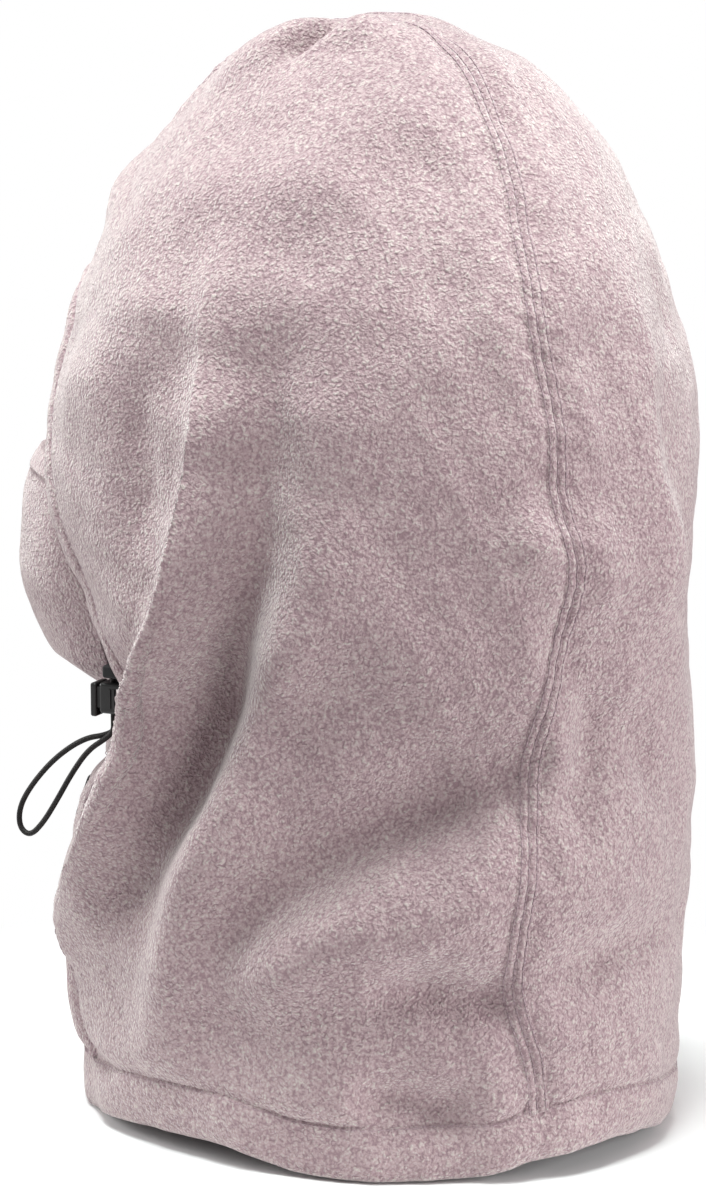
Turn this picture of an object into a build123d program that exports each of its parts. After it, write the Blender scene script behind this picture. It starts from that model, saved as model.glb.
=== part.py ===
"""A fleece balaclava: a three-panel ski hood with a front panel, a face mask that pulls down,
and a drawcord round the face with a spring cord lock.

Millimetres. +Z is up, the face looks along -Y and the wearer's left is +X. The origin is the
middle of the bounding box at the height of the hem's lower edge. Left and right are the wearer's.
"""

import os
from math import pi, radians, sqrt, tan

from build123d import *

# ---- the hood as a whole
AXIS_Y = 8.0  # the head's upright axis, behind the middle of the box
FLEECE = 3.0  # thickness of the fleece
CROWN_Z = 390.0
# Level sections of the outer face: height, half width, reach forward, reach back.
SECTIONS = [
    (0, 91, 108, 110),
    (25, 94, 111, 113),
    (65, 96, 116, 116),
    (110, 94, 108, 117),
    (150, 88, 88, 117),
    (185, 95, 107, 116),
    (215, 98, 118, 116.5),
    (245, 98, 119, 116.5),
    (290, 92, 108, 109),
    (330, 76, 87, 91),
    (360, 55, 63, 69),
    (379, 36, 42, 46),
    (387, 20, 24, 26),
]
REACH = 300.0  # longer than the hood, for cutting tools
CRUMB = 1.0  # cubic millimetres

# ---- seams, hem and stitches
HEM_HEIGHT = 20.0
HEM_PROUD = 1.5  # the folded hem stands out of the panels by this much
HEM_THICKNESS = 5.0
# Half width of the gusset and height, behind the head's axis.
GUSSET_BACK = [(57, 0), (66, 70), (56, 180), (58, 265), (41, 335), (25, 370), (14, 386)]
GUSSET_FRONT = 14.0  # half width over the forehead
FOREHEAD_Z = 210.0  # the gusset's front end is above this, inside the face opening
FRONT_PANEL_HALF = (62.0, 52.0)  # at the hem and at the tunnel
FRONT_PANEL_TOP = 140.0
SEAM_WIDTH = 6.0
SEAM_GAP = 0.1  # between a stitch row and the cloth under it
SEAM_PROUD = 0.8
STITCH_WIDTH = 1.2
HEM_STITCH_Z = 16.0

# ---- face opening, its drawcord tunnel and the cord in it
OPENING = [(0, 300), (21, 297), (39, 281), (48, 257), (53, 234), (59, 212), (63.5, 190), (66.5, 168)]
OPENING += [(66.5, 150), (62, 139.5), (50, 135), (36, 134), (0, 133)]  # half outline of the tunnel's centre
TUNNEL_INSET = 3.0  # its centre line, inside the hood's outer face
TUNNEL_R = 4.5
CORD_R = 1.0
CORD_PLAY = 0.06
TUNNEL_STITCH_OFFSET = 6.2  # from the tunnel's centre line
BRIM_HEIGHTS = (120.0, 310.0)  # the tunnel's stitches lie between these

# ---- face mask
MASK_CENTRE = (0, -52, 203)
MASK_RADII = (58, 73, 64)
MASK_THICKNESS = 2.5
MASK_BACK_Y = -75.5  # its side edges
MASK_BOTTOM, MASK_TOP = 149.0, 238.0
MASK_SIDE = [(28, MASK_BOTTOM), (44, 166), (51, 192), (50, 218), (42, 242)]
MASK_TOP_R = 130.0  # the top edge is an arc over the nose
BINDING_HEIGHT = 7.0
BINDING_PROUD = 0.8
HINGE_STRIP = [(-85.5, 136), (-88.5, 136), (-91.0, 148.6), (-88.4, 148.6)]  # its section, Y and Z
HINGE_STRIP_WIDTH = 52.0

# ---- cord lock, its cord and the tab the cord leaves by
LOCK_X, LOCK_Y, LOCK_Z = 60.0, -61.5, 154.0  # middle of the housing
LOCK_WIDTH, LOCK_DEPTH, LOCK_HEIGHT = 10.0, 11.0, 11.0
LOCK_WALL = 1.2
STRAND_APART = 3.4
STRAND_Y = -63.0
BUTTON_TRAVEL = 1.2
BUTTON_GAP = 1.3
BUTTON_PLATE = (9.0, 2.5, 12.0)
PLUNGER_SIDE = 7.4
PLUNGER_PLAY = 0.1
SPRING_R, SPRING_WIRE_R, SPRING_TURNS = 2.3, 0.25, 4
RIB_COUNT, RIB_PITCH, RIB_PROUD = 4, 1.6, 0.45
TAB_Z = 161.5
TAB_FRONT = -65.2
TAB_SIZE = (12.0, 18.0, 4.5)
TAB_HOLE_R, TAB_HOLE_DEPTH = 1.25, 2.5
STRAND_TOP = 160.6
LOOP_ROUTE = [
    (61.7, STRAND_Y, STRAND_TOP),
    (61.7, STRAND_Y, 141.8),
    (61.7, -66.3, 138.8),
    (61.6, -73.4, 134.0),
    (61.3, -80.2, 124.9),
    (61.0, -86.6, 114.3),
    (60.6, -92.7, 105.1),
    (60.1, -98.5, 99.5),
    (59.8, -103.0, 102.5),
    (59.5, -102.8, 110.0),
    (59.2, -97.4, 119.0),
    (58.9, -88.0, 129.4),
    (58.5, -76.7, 137.3),
    (58.3, -67.5, 139.3),
    (58.3, STRAND_Y, 142.5),
    (58.3, STRAND_Y, STRAND_TOP),
]

# ---- label
LABEL_X, LABEL_Z = (8.0, 38.0), (101.0, 110.0)

os.makedirs("parts", exist_ok=True)


def section_at(z, grow=0.0):
    """Half width, reach forward and reach back at a height, between the sections."""
    for low, high in zip(SECTIONS, SECTIONS[1:]):
        if low[0] <= z <= high[0]:
            share = (z - low[0]) / (high[0] - low[0])
            return [a + (b - a) * share + grow for a, b in zip(low[1:], high[1:])]
    return [value + grow for value in SECTIONS[-1][1:]]


def section_face(z, half_width, forward, back):
    """One level section: half an ellipse behind the axis and half of another in front."""
    centre = (0, AXIS_Y)
    rear = EllipticalCenterArc(centre, half_width, back, 0, arc_size=180)
    front = EllipticalCenterArc(centre, half_width, forward, 180, arc_size=180)
    return Pos(0, 0, z) * make_face([rear, front])


def head_form(grow=0.0):
    """The hood's outer shape as one solid, larger or smaller all round by grow."""
    faces = [section_face(z, w + grow, f + grow, b + grow) for z, w, f, b in SECTIONS]
    top = Vertex(0, AXIS_Y, CROWN_Z + grow)
    return loft(faces + [top])


def slab(low, high):
    """A wide level slab between two heights."""
    return Pos(0, 0, (low + high) / 2) * Box(2 * REACH, 2 * REACH, high - low)


def half_space(side):
    """The half of space on one side of the middle: +1 is the wearer's left."""
    return Pos(side * REACH / 2, 0, CROWN_Z / 2) * Box(REACH, 2 * REACH, 3 * REACH)


def gusset_prism(extra=0.0):
    """The space between the two gusset seams, behind the axis and over the forehead."""
    right = [(w + extra, z) for w, z in GUSSET_BACK]
    left = [(-w, z) for w, z in reversed(right)]
    top = [(right[-1][0], CROWN_Z + 20), (left[0][0], CROWN_Z + 20)]
    foot = [(right[0][0], -20), (left[-1][0], -20)]
    edges = Spline(right) + Polyline(right[-1], *top, left[0])
    edges += Spline(left) + Polyline(left[-1], foot[1], foot[0], right[0])
    rear = extrude(Plane.XZ * make_face(edges), amount=-REACH)
    width = 2 * (GUSSET_FRONT + extra)
    front = Pos(0, -REACH / 2, FOREHEAD_Z + CROWN_Z / 2) * Box(width, REACH, CROWN_Z)
    return Pos(0, AXIS_Y, 0) * (rear + front)


def front_prism(extra=0.0):
    """The space of the front panel, below the face opening."""
    low, high = (half + extra for half in FRONT_PANEL_HALF)
    corners = [(-low, -1), (low, -1), (high, FRONT_PANEL_TOP), (-high, FRONT_PANEL_TOP)]
    return extrude(Plane.XZ * make_face(Polyline(*corners, close=True)), amount=REACH)


def opening_prism(grow=0.0):
    """The face opening, cut straight back from the front to the head's axis."""
    outline = OPENING + [(-x, z) for x, z in reversed(OPENING[1:-1])]
    grown = []
    for index, (x, z) in enumerate(outline):
        before, after = outline[index - 1], outline[(index + 1) % len(outline)]
        along = Vector(after[0] - before[0], after[1] - before[1]).normalized()
        grown.append((x - along.Y * grow, z + along.X * grow))
    return extrude(Plane.XZ * make_face(Spline(grown, periodic=True)), amount=REACH)


def tunnel_point(x, z):
    """A point of the tunnel's centre line, from its place in the front view."""
    half_width, forward, _ = section_at(z, -TUNNEL_INSET)
    return Vector(x, AXIS_Y - forward * sqrt(1 - (x / half_width) ** 2), z)


def smooth_path(points):
    """Straight runs joined by arcs as large as the two runs at each corner allow."""
    points = [Vector(*p) for p in points]
    radii = []
    for before, here, after in zip(points, points[1:], points[2:]):
        arriving, leaving = here - before, after - here
        shorter = min(arriving.length, leaving.length)
        radii.append(0.45 * shorter / tan(radians(arriving.get_angle(leaving)) / 2))
    return FilletPolyline(*points, radius=radii), radii


def tube(path, radius):
    """A round tube along a path."""
    start = Plane(origin=path @ 0, z_dir=path % 0)
    return sweep(start * Circle(radius), path=path)


def ellipsoid(grow):
    """The mask's outer face as a whole ellipsoid."""
    side, depth, height = (radius + grow for radius in MASK_RADII)
    ball = scale(Sphere(height), by=(side / height, depth / height, 1))
    return Pos(*MASK_CENTRE) * ball


def mask_prism(drop=0.0):
    """The mask's outline in the front view, with its top edge lowered by drop."""
    mirrored = [(-x, z) for x, z in reversed(MASK_SIDE)]
    edges = Spline(MASK_SIDE) + Line(MASK_SIDE[-1], mirrored[0])
    edges += Spline(mirrored) + Line(mirrored[-1], MASK_SIDE[0])
    prism = extrude(Plane.XZ * make_face(edges), amount=REACH)
    prism &= Pos(0, MASK_BACK_Y - REACH / 2, 0) * Box(REACH, REACH, 4 * REACH)
    return prism & top_edge_roller(drop)


def top_edge_roller(drop):
    """A level roller whose upper side is the mask's top edge, lowered by drop."""
    roller = Rot(90, 0, 0) * Cylinder(MASK_TOP_R, 2 * REACH)
    return Pos(0, 0, MASK_TOP - MASK_TOP_R - drop) * roller


def solids_of(shape):
    """The shape's solids, without the crumbs that a cut can leave."""
    found = [solid for solid in shape.solids() if solid.volume > CRUMB]
    return found[0] if len(found) == 1 else Compound(children=list(found))


def save(shape, name):
    """Writes one piece."""
    export_step(solids_of(shape), f"parts/{name}.step")


# ---- the shell of fleece and the rolled tunnel round the face
form = head_form()
shell = form - head_form(-FLEECE)
shell -= slab(-10, HEM_HEIGHT)
opening = opening_prism()
tunnel_path, tunnel_radii = smooth_path([tunnel_point(x, z) for x, z in OPENING])
tunnel_body = tube(tunnel_path, TUNNEL_R)
tunnel_bore = tube(tunnel_path, CORD_R + CORD_PLAY)
tunnel_cord = tube(tunnel_path, CORD_R)
tunnel_both = tunnel_body + mirror(tunnel_body, about=Plane.YZ)
shell -= opening
shell -= tunnel_both

gusset = gusset_prism()
front = front_prism()
save(shell & gusset, "crown_gusset")
save((shell - gusset) & front, "front_panel")
sides = (shell - gusset) - front
save(sides & half_space(1), "left_side_panel")
save(sides & half_space(-1), "right_side_panel")

tunnel_left = (tunnel_body - tunnel_bore) & half_space(1)
save(tunnel_left, "face_tunnel_left")
save(mirror(tunnel_left, about=Plane.YZ), "face_tunnel_right")
cord_left = tunnel_cord & half_space(1)
save(cord_left + mirror(cord_left, about=Plane.YZ), "tunnel_cord")

# ---- hem
hem = (head_form(HEM_PROUD) - head_form(HEM_PROUD - HEM_THICKNESS)) & slab(0, HEM_HEIGHT)
save(hem, "hem_band")
hem_thread = head_form(HEM_PROUD + SEAM_PROUD) - head_form(HEM_PROUD + SEAM_GAP)
save(hem_thread & slab(HEM_STITCH_Z, HEM_STITCH_Z + STITCH_WIDTH), "hem_stitching")

# ---- stitch rows over the panel seams
thread_skin = head_form(SEAM_PROUD) - head_form(SEAM_GAP)
thread_skin -= slab(-10, HEM_HEIGHT + 0.2)
brim_ring = opening_prism(TUNNEL_STITCH_OFFSET + STITCH_WIDTH) - opening_prism(TUNNEL_STITCH_OFFSET)
brim_half = thread_skin & slab(*BRIM_HEIGHTS) & half_space(1) & brim_ring
save(brim_half + mirror(brim_half, about=Plane.YZ), "brim_stitching")
open_skin = thread_skin - opening_prism(TUNNEL_STITCH_OFFSET + 2 * STITCH_WIDTH)
gusset_rows = open_skin & (gusset_prism(SEAM_WIDTH / 2) - gusset_prism(-SEAM_WIDTH / 2))
front_rows = (front_prism(SEAM_WIDTH / 2) - front_prism(-SEAM_WIDTH / 2)) & slab(0, FRONT_PANEL_TOP)
front_rows = open_skin & front_rows
for side, name in ((1, "left"), (-1, "right")):
    save(gusset_rows & half_space(side), f"gusset_seam_{name}")
    save(front_rows & half_space(side), f"front_seam_{name}")

# ---- label on the front panel
label_box = Pos(sum(LABEL_X) / 2, -REACH / 2, sum(LABEL_Z) / 2)
label_box = label_box * Box(LABEL_X[1] - LABEL_X[0], REACH, LABEL_Z[1] - LABEL_Z[0])
save(thread_skin & label_box, "front_label")

# ---- face mask
mask_shell = ellipsoid(0) - ellipsoid(-MASK_THICKNESS)
mask_cloth = mask_shell & mask_prism(BINDING_HEIGHT)
save(mask_cloth & half_space(1), "mask_left")
save(mask_cloth & half_space(-1), "mask_right")
binding_shell = ellipsoid(BINDING_PROUD) - ellipsoid(-MASK_THICKNESS - BINDING_PROUD)
save((binding_shell & mask_prism()) - top_edge_roller(BINDING_HEIGHT), "mask_binding")

# ---- strip of fleece under the chin that the mask folds on
strip = make_face(Polyline(*HINGE_STRIP, close=True))
strip = extrude(Plane.YZ * strip, amount=HINGE_STRIP_WIDTH / 2, both=True)
save(strip - tunnel_both, "mask_hinge_strip")

# ---- drawcord loop
loop_path, loop_radii = smooth_path(LOOP_ROUTE)
loop = tube(loop_path, CORD_R)
save(loop, "cord_loop")

# ---- cord lock
strand_xs = [LOCK_X - STRAND_APART / 2, LOCK_X + STRAND_APART / 2]
housing = Pos(LOCK_X, LOCK_Y, LOCK_Z) * Box(LOCK_WIDTH, LOCK_DEPTH, LOCK_HEIGHT)
housing = fillet(housing.edges(), 1.1)
for side in (-1, 1):
    for index in range(RIB_COUNT):
        rib_y = LOCK_Y + LOCK_DEPTH / 2 - 1.8 - index * RIB_PITCH
        rib_x = LOCK_X + side * LOCK_WIDTH / 2
        rib = Pos(rib_x, rib_y, LOCK_Z) * Box(2 * RIB_PROUD, RIB_PITCH / 2, LOCK_HEIGHT - 4)
        housing += rib
front_y = LOCK_Y - LOCK_DEPTH / 2
cavity_back = LOCK_Y + LOCK_DEPTH / 2 - LOCK_WALL
cavity_side = PLUNGER_SIDE + 2 * PLUNGER_PLAY
cavity_depth = cavity_back - front_y + 1
cavity_y = cavity_back - cavity_depth / 2
housing -= Pos(LOCK_X, cavity_y, LOCK_Z) * Box(cavity_side, cavity_depth, cavity_side)
for x in strand_xs:
    housing -= Pos(x, STRAND_Y, LOCK_Z) * Cylinder(CORD_R + CORD_PLAY, 2 * LOCK_HEIGHT)
save(housing, "lock_housing")

plate_width, plate_depth, plate_height = BUTTON_PLATE
plate_y = front_y - BUTTON_GAP - plate_depth / 2
plate = Pos(LOCK_X, plate_y, LOCK_Z - 1) * Box(plate_width, plate_depth, plate_height)
plate = fillet(plate.edges(), 0.8)
plunger_back = STRAND_Y + 3.1
plunger_depth = plunger_back - (plate_y + plate_depth / 2) + 0.5
plunger = Pos(LOCK_X, plunger_back - plunger_depth / 2, LOCK_Z)
plunger = plunger * Box(PLUNGER_SIDE, plunger_depth, PLUNGER_SIDE)
slot_back = STRAND_Y + CORD_R + CORD_PLAY
slot_depth = 2 * (CORD_R + CORD_PLAY) + BUTTON_TRAVEL + CORD_PLAY
slot_width = STRAND_APART + 2 * CORD_R + 0.4
slot = Pos(LOCK_X, slot_back - slot_depth / 2, LOCK_Z) * Box(slot_width, slot_depth, 2 * LOCK_HEIGHT)
save(plate + plunger - slot, "lock_button")

spring_low = plunger_back + SPRING_WIRE_R + 0.05
spring_high = cavity_back - SPRING_WIRE_R - 0.05
spring_length = spring_high - spring_low
helix = Helix(pitch=spring_length / SPRING_TURNS, height=spring_length, radius=SPRING_R)
wire_plane = Plane(origin=helix @ 0, z_dir=helix % 0)
spring = sweep(wire_plane * Circle(SPRING_WIRE_R), path=helix, is_frenet=True)
save(Pos(LOCK_X, spring_low, LOCK_Z) * Rot(-90, 0, 0) * spring, "lock_spring")

# ---- tab where the two strands leave the tunnel
tab_width, tab_depth, tab_height = TAB_SIZE
tab_y = TAB_FRONT + tab_depth / 2
tab = Pos(LOCK_X, tab_y, TAB_Z + tab_height / 2) * Box(tab_width, tab_depth, tab_height)
tab = fillet(tab.edges(), 1.0)
for x in strand_xs:
    tab -= Pos(x, STRAND_Y, TAB_Z) * Cylinder(TAB_HOLE_R, 2 * TAB_HOLE_DEPTH)
tab -= tube(tunnel_path, TUNNEL_R + 0.05)
save(tab, "cord_exit_tab")

print("tunnel radii", [round(r, 1) for r in tunnel_radii])
print("loop radii", [round(r, 1) for r in loop_radii], "length", round(loop_path.length, 1))
print("loop volume over section times length", round(loop.volume / (pi * CORD_R**2 * loop_path.length), 4))
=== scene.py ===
"""Looks of a fleece balaclava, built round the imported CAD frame.

Lengths are millimetres until a mesh is made; angles are degrees round the head's axis,
0 at the face, 90 at the wearer's left ear and 180 at the nape.
"""

import math

import bpy
import numpy as np
from mathutils import Matrix, Vector


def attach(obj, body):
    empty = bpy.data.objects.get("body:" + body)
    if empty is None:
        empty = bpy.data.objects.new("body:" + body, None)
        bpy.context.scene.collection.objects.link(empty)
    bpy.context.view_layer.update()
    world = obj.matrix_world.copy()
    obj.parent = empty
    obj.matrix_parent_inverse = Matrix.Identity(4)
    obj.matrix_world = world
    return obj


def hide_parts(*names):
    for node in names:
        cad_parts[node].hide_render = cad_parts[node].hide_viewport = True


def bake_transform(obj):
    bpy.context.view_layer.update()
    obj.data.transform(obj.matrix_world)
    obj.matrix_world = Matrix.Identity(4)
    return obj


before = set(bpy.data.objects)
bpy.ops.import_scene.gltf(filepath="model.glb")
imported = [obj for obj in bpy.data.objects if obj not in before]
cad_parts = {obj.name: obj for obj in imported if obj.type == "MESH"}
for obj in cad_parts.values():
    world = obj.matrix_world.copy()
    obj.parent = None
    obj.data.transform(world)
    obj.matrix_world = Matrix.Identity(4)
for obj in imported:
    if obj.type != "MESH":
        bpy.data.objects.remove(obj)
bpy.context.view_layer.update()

MM = 0.001
RNG = np.random.default_rng(7)

# ---- the hood's form, as in the CAD part: height, half width, reach forward, reach back
AXIS_Y = 8.0
CROWN_Z = 390.0
SECTIONS = np.array(
    [
        (0, 91, 108, 110),
        (25, 94, 111, 113),
        (65, 96, 116, 116),
        (110, 94, 108, 117),
        (150, 88, 88, 117),
        (185, 95, 107, 116),
        (215, 98, 118, 116.5),
        (245, 98, 119, 116.5),
        (290, 92, 108, 109),
        (330, 76, 87, 91),
        (360, 55, 63, 69),
        (379, 36, 42, 46),
        (387, 20, 24, 26),
        (CROWN_Z, 0, 0, 0),
    ],
    dtype=float,
)
FLEECE = 2.6
HEM_TOP = 20.0
PANEL_LOW = HEM_TOP - 1.5  # the panels' lower edge, sewn inside the hem
# Half width of the crown gusset by height, behind the head's axis.
GUSSET_HALF = [(0, 56), (30, 59), (70, 66.5), (115, 63), (145, 59), (187, 55), (207, 53.5)]
GUSSET_HALF += [(240, 58), (290, 57), (316, 50.5), (336, 42), (353, 34), (370, 25), (386, 14)]
GUSSET_FRONT = 14.0
FRONT_HALF = [(0, 62), (140, 52)]  # half width of the front panel by height
OPENING = [(0, 300), (21, 297), (39, 281), (48, 257), (53, 234), (59, 212), (63.5, 190), (66.5, 168)]
OPENING += [(66.5, 150), (62, 139.5), (50, 135), (36, 134), (0, 133)]
TUNNEL_HALF = 5.5

# ---- folds of the left side: (angle, height, lift) along each, then width to each side.
# Looking down the line with the outside up, the first width is on the left.
LEFT_FOLDS = {
    "cheek_ridge": (
        [(81, 324, 0), (80, 296, 3), (80.5, 274, 6), (81.5, 257, 10), (81, 242, 13), (80, 225, 15)]
        + [(78.5, 211, 17), (76, 199, 19), (73, 188, 21), (70, 179, 23), (66, 168, 25), (62, 150, 26)]
        + [(60.5, 136, 26), (59, 123, 23), (55, 109, 18), (49, 94, 14), (43, 80, 10), (39, 68, 6)]
        + [(36, 54, 0)],
        (14, 6),
    ),
    "cheek_valley": (
        [(97, 305, 0), (94, 275, -5), (92, 250, -9), (90, 226, -12), (87, 200, -15)]
        + [(82, 178, -17), (75, 157, -17), (71, 140, -16), (68, 122, -14), (64, 104, -9)]
        + [(60, 84, -4), (57, 64, 0)],
        (12, 11),
    ),
    "jaw_ridge": (
        [(105, 235, 0), (101, 211, 4), (97, 192, 6), (92, 171, 8), (86, 146, 10), (82, 125, 11)]
        + [(78, 104, 10), (75, 82, 9), (72, 60, 7), (69, 42, 4), (66, 28, 0)],
        (13, 9),
    ),
    "neck_valley": (
        [(143, 147, 0), (131, 138, -9), (120, 129, -13), (110, 120, -14), (101, 109, -14)]
        + [(92, 96, -10), (85, 82, -6), (79, 66, 0)],
        (9, 15),
    ),
    "neck_roll": (
        [(140, 118, 0), (130, 106, 6), (121, 97, 8), (111, 91, 8), (102, 84, 7), (95, 74, 5), (87, 58, 0)],
        (11, 12),
    ),
    "nape_dimple": ([(109, 70, 0), (121, 69, -7), (132, 66, -6), (138, 65, 0)], (8, 7)),
    "hem_dimple": ([(107, 33, 0), (115, 29, -7), (124, 27, -7), (132, 29, 0)], (8, 6)),
    "seam_bump": ([(136, 238, 0), (139, 223, 4), (141, 208, 0)], (10, 10)),
    "temple_valley": ([(67, 277, 0), (68, 247, -4), (69, 230, -4), (69, 208, 0)], (7, 9)),
    "hem_crease": (
        [(33, 64, 0), (33, 50, -3), (38, 39, -4), (40, 28, -4), (50, 24, -3), (58, 23, 0)],
        (4, 4),
    ),
}
# Folds of the crown: (x, y, lift).
CROWN_FOLDS = {
    "crown_roll": ([(34, -40, 0), (31, -24, 5), (30, -6, 7), (27, 10, 7), (22, 26, 3), (16, 42, 0)], (9, 8)),
    "crown_hollow": ([(2, -46, 0), (3, -28, -4), (4, -6, -5), (4, 14, -4), (2, 34, 0)], (9, 9)),
    "crown_pleat": ([(38, -12, 0), (34, -4, -7), (29, 2, -10), (24, 8, -8), (18, 14, 0)], (4, 3.5)),
    "forehead_bump": ([(40, -62, 0), (36, -72, 4), (30, -82, 0)], (14, 14)),
}
NAPE_FOLDS = {
    "nape_seam_valley": (
        [(147, 196, 0), (149, 172, -5), (150, 151, -6), (148, 131, -5), (144, 114, 0)],
        (8, 7),
    ),
    "nape_diagonal": ([(148, 168, 0), (162, 148, -6), (175, 128, -4), (185, 115, 0)], (11, 11)),
    "nape_low_valley": ([(139, 63, 0), (151, 73, -4), (162, 77, -5), (178, 78, -3), (190, 76, 0)], (9, 9)),
    "nape_bulge": ([(139, 232, 0), (151, 216, 4), (164, 202, 4), (176, 192, 0)], (15, 13)),
    "nape_ridge": (
        [(176, 311, 0), (166, 270, 4), (166, 242, 6), (170, 221, 7), (176, 191, 5), (186, 160, 0)],
        (6, 12),
    ),
}


def pchip(x, table):
    """Smooth interpolation that never overshoots, through rows of (x, value)."""
    xs, ys = np.asarray(table, dtype=float).T
    gaps = np.diff(xs)
    rises = np.diff(ys) / gaps
    slopes = np.zeros_like(ys)
    slopes[0], slopes[-1] = rises[0], rises[-1]
    for i in range(1, len(xs) - 1):
        if rises[i - 1] * rises[i] > 0:
            near, far = 2 * gaps[i] + gaps[i - 1], gaps[i] + 2 * gaps[i - 1]
            slopes[i] = (near + far) / (near / rises[i - 1] + far / rises[i])
    x = np.clip(x, xs[0], xs[-1])
    i = np.clip(np.searchsorted(xs, x) - 1, 0, len(xs) - 2)
    t, h = (x - xs[i]) / gaps[i], gaps[i]
    start = ys[i] * (1 + 2 * t) * (1 - t) ** 2 + h * slopes[i] * t * (1 - t) ** 2
    return start + ys[i + 1] * t * t * (3 - 2 * t) + h * slopes[i + 1] * t * t * (t - 1)


def squared_reach(z, y):
    """Squares of the half width and of the reach at a height, forward or back of the axis."""
    tables = [np.column_stack([SECTIONS[:, 0], SECTIONS[:, k] ** 2]) for k in (1, 2, 3)]
    side, ahead, behind = (np.maximum(pchip(z, table), 1e-2) for table in tables)
    return side, np.where(y < AXIS_Y, ahead, behind)


def inside(points):
    """Under 1 inside the smooth form, 1 on it."""
    x, y, z = np.moveaxis(points, -1, 0)
    side, reach = squared_reach(z, y)
    return x**2 / side + (y - AXIS_Y) ** 2 / reach


def gradient(points):
    """Gradient of inside()."""
    step = 0.2
    parts = []
    for axis in range(3):
        shift = np.zeros(3)
        shift[axis] = step
        parts.append((inside(points + shift) - inside(points - shift)) / (2 * step))
    return np.stack(parts, axis=-1)


def unit(vectors):
    return vectors / np.maximum(np.linalg.norm(vectors, axis=-1, keepdims=True), 1e-9)


def onto_form(points):
    """Moves points that are near the smooth form onto it."""
    points = np.array(points, dtype=float)
    for _ in range(4):
        slope = gradient(points)
        size = np.sum(slope**2, axis=-1, keepdims=True)
        points -= slope * ((inside(points) - 1)[..., None] / np.maximum(size, 1e-9)).clip(-8, 8)
    return points


def on_form(angle, z):
    """The point of the smooth form at an angle in degrees and a height."""
    angle, z = np.radians(angle), np.asarray(z, dtype=float)
    y_side = np.where(np.cos(angle) > 0, AXIS_Y - 1, AXIS_Y + 1)
    side, reach = squared_reach(z, y_side)
    x = np.sqrt(side) * np.sin(angle)
    y = AXIS_Y - np.sqrt(reach) * np.cos(angle)
    return np.stack(np.broadcast_arrays(x, y, z), axis=-1)


def curve_through(points, count):
    """A smooth line through a few rows of numbers, sampled evenly by index."""
    points = np.asarray(points, dtype=float)
    steps = np.linspace(0, len(points) - 1, count)
    columns = [pchip(steps, np.column_stack([np.arange(len(points)), column])) for column in points.T]
    return np.column_stack(columns)


def crown_point(x, y):
    """The point of the upper form over a place."""
    low, high = np.full(np.shape(x), 250.0), np.full(np.shape(x), CROWN_Z)
    for _ in range(30):
        middle = (low + high) / 2
        within = inside(np.stack([x, y, middle], axis=-1)) < 1
        low, high = np.where(within, middle, low), np.where(within, high, middle)
    return np.stack([x, y, low], axis=-1)


def fold_lines():
    """Every fold as (points on the form, normals, lifts, widths), with the right side mirrored."""
    lines = []
    for name, (rows, widths) in {**LEFT_FOLDS, **NAPE_FOLDS}.items():
        samples = curve_through(rows, 8 * len(rows))
        spots = on_form(samples[:, 0], samples[:, 1])
        lines.append((spots, samples[:, 2], widths))
        if name in LEFT_FOLDS:
            mirrored = on_form(360 - samples[:, 0] - 2, samples[:, 1] * 0.98 + 2)
            lines.append((mirrored, 0.85 * samples[:, 2], widths[::-1]))
    for rows, widths in CROWN_FOLDS.values():
        samples = curve_through(rows, 8 * len(rows))
        lines.append((crown_point(samples[:, 0], samples[:, 1]), samples[:, 2], widths))
    return lines


# Lift of the hem by angle, where it stands off the floor.
HEM_WAVES = [(0, 0), (20, 0), (36, 0.5), (48, 4), (62, 6), (78, 6.5), (90, 4), (100, 1), (116, 0)]
HEM_WAVES += [(134, 1), (148, 6), (160, 8), (172, 6), (184, 2), (196, 0), (212, 4), (228, 1), (255, 0.5)]
HEM_WAVES += [(275, 4), (298, 6), (316, 3), (335, 0), (360, 0)]

FOLDS = fold_lines()
WAVES = [
    (unit(RNG.normal(size=3)) * 2 * math.pi / length, RNG.uniform(0, 2 * math.pi), size)
    for length, size, count in ((75, 0.5, 6), (38, 0.28, 8), (17, 0.1, 8), (9, 0.045, 8))
    for _ in range(count)
]


UNDERCUT = 0.9  # how far a steep fold's wall leans back under its crest, as a share of its lift
NECK_Z = 148.0  # the narrow of the neck, where folds are lifted level so that they don't cross


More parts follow.
